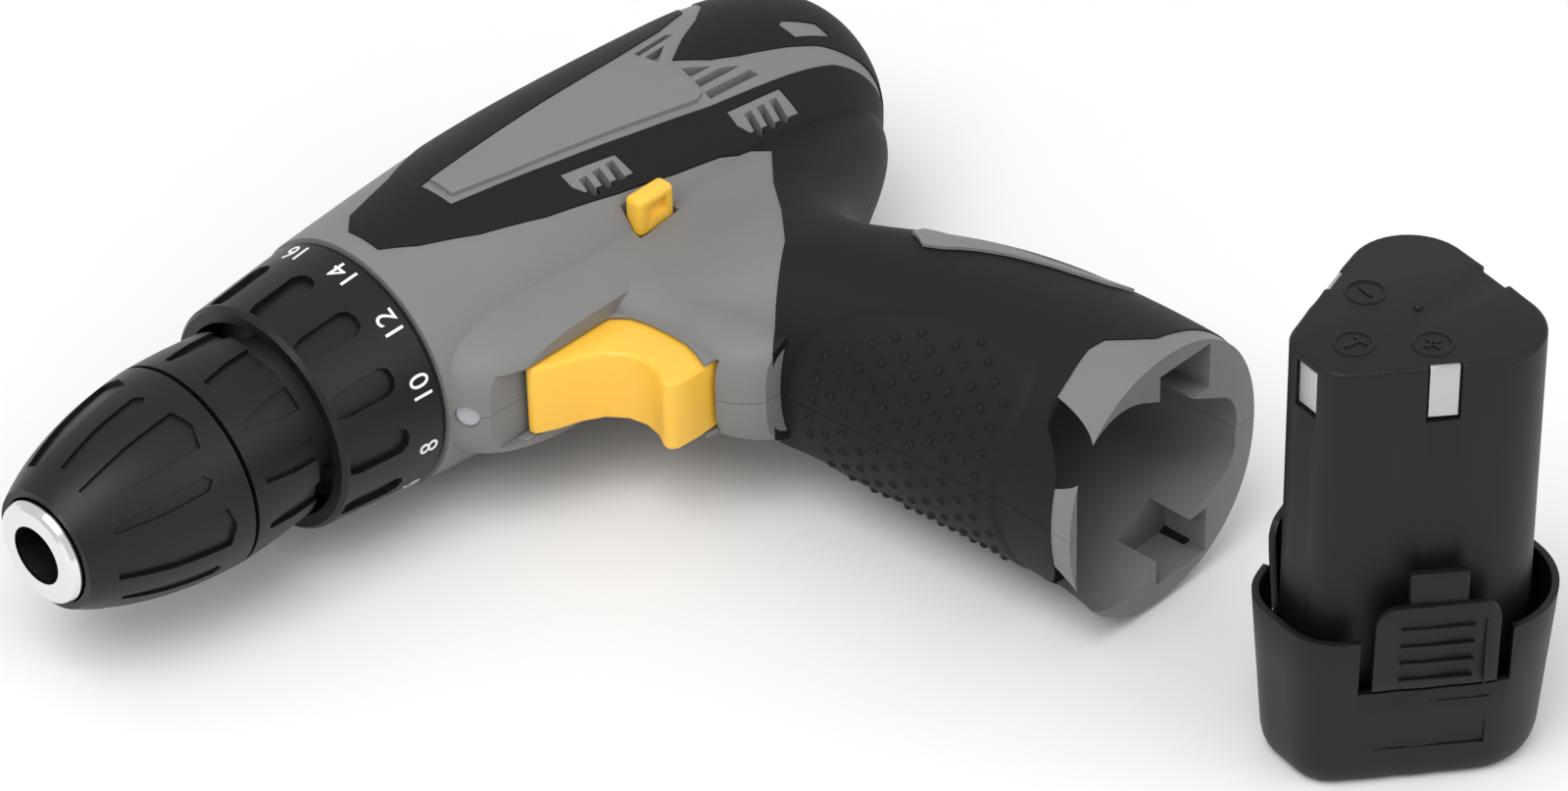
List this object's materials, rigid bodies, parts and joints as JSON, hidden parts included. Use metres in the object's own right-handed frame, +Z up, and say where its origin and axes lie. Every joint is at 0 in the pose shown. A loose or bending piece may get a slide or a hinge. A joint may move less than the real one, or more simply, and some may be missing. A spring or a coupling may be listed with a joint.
{
  "type": "cordless drill",
  "caption": "Compact pistol-grip cordless drill with keyless chuck and torque collar, lying on its side, with its battery pack standing beside the grip.",
  "frame": {"origin": "bottom centre of the whole object, on the surface it lies on", "axes": "+X back along the barrel from the chuck, +Y from the grip towards the barrel, +Z up, out of the left side of the drill"},
  "size_m": [0.1808, 0.2085, 0.0775],
  "materials": {
    "steel": "bright machined",
    "spring_steel": "drawn wire",
    "polished_steel": "polished",
    "dark_steel": "blackened",
    "black_plastic": "moulded nylon",
    "battery_plastic": "moulded ABS",
    "nickel": "nickel plated strip",
    "cell_wrap": "shrink wrap",
    "soft_rubber": "soft-touch overmould",
    "grey_plastic": "moulded nylon, fine texture",
    "yellow_plastic": "moulded acetal",
    "lamp_lens": "clear lens",
    "gear_case_nylon": "glass-filled nylon",
    "zinc_steel": "zinc plated",
    "ferrite": "sintered",
    "carbon": "graphite",
    "bronze": "sintered bronze"
  },
  "bodies": {
    "drill": {"housing_left": "grey_plastic", "housing_right": "grey_plastic", "grip_overmould_left": "soft_rubber", "grip_overmould_right": "soft_rubber", "side_panel_left": "grey_plastic", "side_panel_right": "grey_plastic", "rear_cover_left": "soft_rubber", "rear_cover_right": "soft_rubber", "terminal_block": "black_plastic", "terminal_clips": "nickel", "gearbox_case": "gear_case_nylon", "first_stage_ring_gear": "steel", "second_stage_ring_gear": "steel", "gearbox_cover": "steel", "motor_can": "zinc_steel", "motor_end_cap": "black_plastic", "motor_magnets": "ferrite", "motor_brushes": "carbon", "motor_bushing": "bronze", "trigger_switch": "black_plastic", "work_lamp": "lamp_lens", "spindle_bearing": "steel", "housing_screws": "steel", "clutch_balls": "steel", "clutch_washer": "steel", "clutch_spring": "spring_steel", "trigger_spring": "spring_steel"},
    "chuck": {"spindle": "steel", "chuck_body": "dark_steel", "chuck_nose_ring": "polished_steel", "chuck_rear_sleeve": "black_plastic", "chuck_retaining_screw": "steel"},
    "chuck_sleeve": {"chuck_front_sleeve": "black_plastic", "chuck_nut": "steel"},
    "first_carrier": {"first_stage_carrier": "steel"},
    "rotor": {"motor_armature": "steel", "motor_pinion": "steel"},
    "collar": {"torque_collar": "black_plastic"},
    "clutch_nut_body": {"clutch_nut": "black_plastic"},
    "trigger_body": {"trigger": "yellow_plastic"},
    "selector": {"direction_selector": "yellow_plastic"},
    "battery": {"battery_case": "battery_plastic", "battery_contacts": "nickel", "battery_base": "battery_plastic", "battery_cells": "cell_wrap"},
    "latch_left": {"battery_latch_left": "battery_plastic"},
    "latch_right": {"battery_latch_right": "battery_plastic"},
    "jaw_1": {"chuck_jaw_1": "steel"},
    "jaw_2": {"chuck_jaw_2": "steel"},
    "jaw_3": {"chuck_jaw_3": "steel"},
    "first_planet_1": {"first_stage_planet_1": "steel"},
    "first_planet_2": {"first_stage_planet_2": "steel"},
    "first_planet_3": {"first_stage_planet_3": "steel"},
    "second_planet_1": {"second_stage_planet_1": "steel"},
    "second_planet_2": {"second_stage_planet_2": "steel"},
    "second_planet_3": {"second_stage_planet_3": "steel"}
  },
  "joints": [
    {"name": "chuck_spin", "type": "hinge", "parent": "drill", "child": "chuck", "pos_m": [-0.05287, 0.07964, 0.02519], "axis": [1, 0, 0], "continuous": true},
    {"name": "first_carrier_spin", "type": "hinge", "parent": "drill", "child": "first_carrier", "pos_m": [-0.00788, 0.07964, 0.02519], "axis": [1, 0, 0], "continuous": true},
    {"name": "rotor_spin", "type": "hinge", "parent": "drill", "child": "rotor", "pos_m": [0.02712, 0.07964, 0.02519], "axis": [1, 0, 0], "continuous": true},
    {"name": "second_planet_1_spin", "type": "hinge", "parent": "chuck", "child": "second_planet_1", "pos_m": [-0.01287, 0.08909, 0.02519], "axis": [1, 0, 0], "continuous": true},
    {"name": "second_planet_2_spin", "type": "hinge", "parent": "chuck", "child": "second_planet_2", "pos_m": [-0.01287, 0.07492, 0.03337], "axis": [1, 0, 0], "continuous": true},
    {"name": "second_planet_3_spin", "type": "hinge", "parent": "chuck", "child": "second_planet_3", "pos_m": [-0.01287, 0.07492, 0.01701], "axis": [1, 0, 0], "continuous": true},
    {"name": "first_planet_1_spin", "type": "hinge", "parent": "first_carrier", "child": "first_planet_1", "pos_m": [-0.00287, 0.08909, 0.02519], "axis": [1, 0, 0], "continuous": true},
    {"name": "first_planet_2_spin", "type": "hinge", "parent": "first_carrier", "child": "first_planet_2", "pos_m": [-0.00287, 0.07492, 0.03337], "axis": [1, 0, 0], "continuous": true},
    {"name": "first_planet_3_spin", "type": "hinge", "parent": "first_carrier", "child": "first_planet_3", "pos_m": [-0.00287, 0.07492, 0.01701], "axis": [1, 0, 0], "continuous": true},
    {"name": "chuck_sleeve_turn", "type": "hinge", "parent": "chuck", "child": "chuck_sleeve", "pos_m": [-0.07287, 0.07964, 0.02519], "axis": [1, 0, 0], "range_deg": [0, 3600]},
    {"name": "jaw_1_slide", "type": "slide", "parent": "chuck", "child": "jaw_1", "axis": [-0.9659, -0.2588, 0], "range_m": [0, 0.0175]},
    {"name": "jaw_2_slide", "type": "slide", "parent": "chuck", "child": "jaw_2", "axis": [-0.9659, 0.1294, -0.2241], "range_m": [0, 0.0175]},
    {"name": "jaw_3_slide", "type": "slide", "parent": "chuck", "child": "jaw_3", "axis": [-0.9659, 0.1294, 0.2241], "range_m": [0, 0.0175]},
    {"name": "torque_collar_turn", "type": "hinge", "parent": "drill", "child": "collar", "pos_m": [-0.03288, 0.07964, 0.02519], "axis": [1, 0, 0], "range_deg": [-120, 150]},
    {"name": "clutch_nut_slide", "type": "slide", "parent": "drill", "child": "clutch_nut_body", "axis": [1, 0, 0], "range_m": [-0.0018, 0.0022], "deforming": ["clutch_spring"]},
    {"name": "trigger_pull", "type": "slide", "parent": "drill", "child": "trigger_body", "axis": [1, 0, 0], "range_m": [0, 0.0055], "stiffness_N_per_m": 500, "springref_m": -0.004, "deforming": ["trigger_spring"]},
    {"name": "direction_shift", "type": "slide", "parent": "drill", "child": "selector", "axis": [0, 0, 1], "range_m": [-0.0044, 0]},
    {"name": "battery_lift", "type": "slide", "parent": "drill", "child": "battery", "axis": [0, 0, 1], "range_m": [0, 0.1]},
    {"name": "latch_left_press", "type": "hinge", "parent": "battery", "child": "latch_left", "pos_m": [0.03871, -0.06132, 0.0202], "axis": [-0.9636, -0.2672, 0], "range_deg": [-2.5, 0], "stiffness_Nm_per_rad": 0.6},
    {"name": "latch_right_press", "type": "hinge", "parent": "battery", "child": "latch_right", "pos_m": [0.03069, -0.09752, 0.0202], "axis": [0.7604, -0.6494, 0], "range_deg": [-2.5, 0], "stiffness_Nm_per_rad": 0.6}
  ],
  "couplings": [
    {"joint": "first_carrier_spin", "follows": "chuck_spin", "ratio": 4.5},
    {"joint": "rotor_spin", "follows": "chuck_spin", "ratio": 20.25},
    {"joint": "second_planet_1_spin", "follows": "chuck_spin", "ratio": -2.8},
    {"joint": "second_planet_2_spin", "follows": "chuck_spin", "ratio": -2.8},
    {"joint": "second_planet_3_spin", "follows": "chuck_spin", "ratio": -2.8},
    {"joint": "first_planet_1_spin", "follows": "chuck_spin", "ratio": -12.6},
    {"joint": "first_planet_2_spin", "follows": "chuck_spin", "ratio": -12.6},
    {"joint": "first_planet_3_spin", "follows": "chuck_spin", "ratio": -12.6},
    {"joint": "jaw_1_slide", "follows": "chuck_sleeve_turn", "m_per_rad": 0.00027852},
    {"joint": "jaw_2_slide", "follows": "chuck_sleeve_turn", "m_per_rad": 0.00027852},
    {"joint": "jaw_3_slide", "follows": "chuck_sleeve_turn", "m_per_rad": 0.00027852},
    {"joint": "clutch_nut_slide", "follows": "torque_collar_turn", "m_per_rad": 0.00076394}
  ]
}
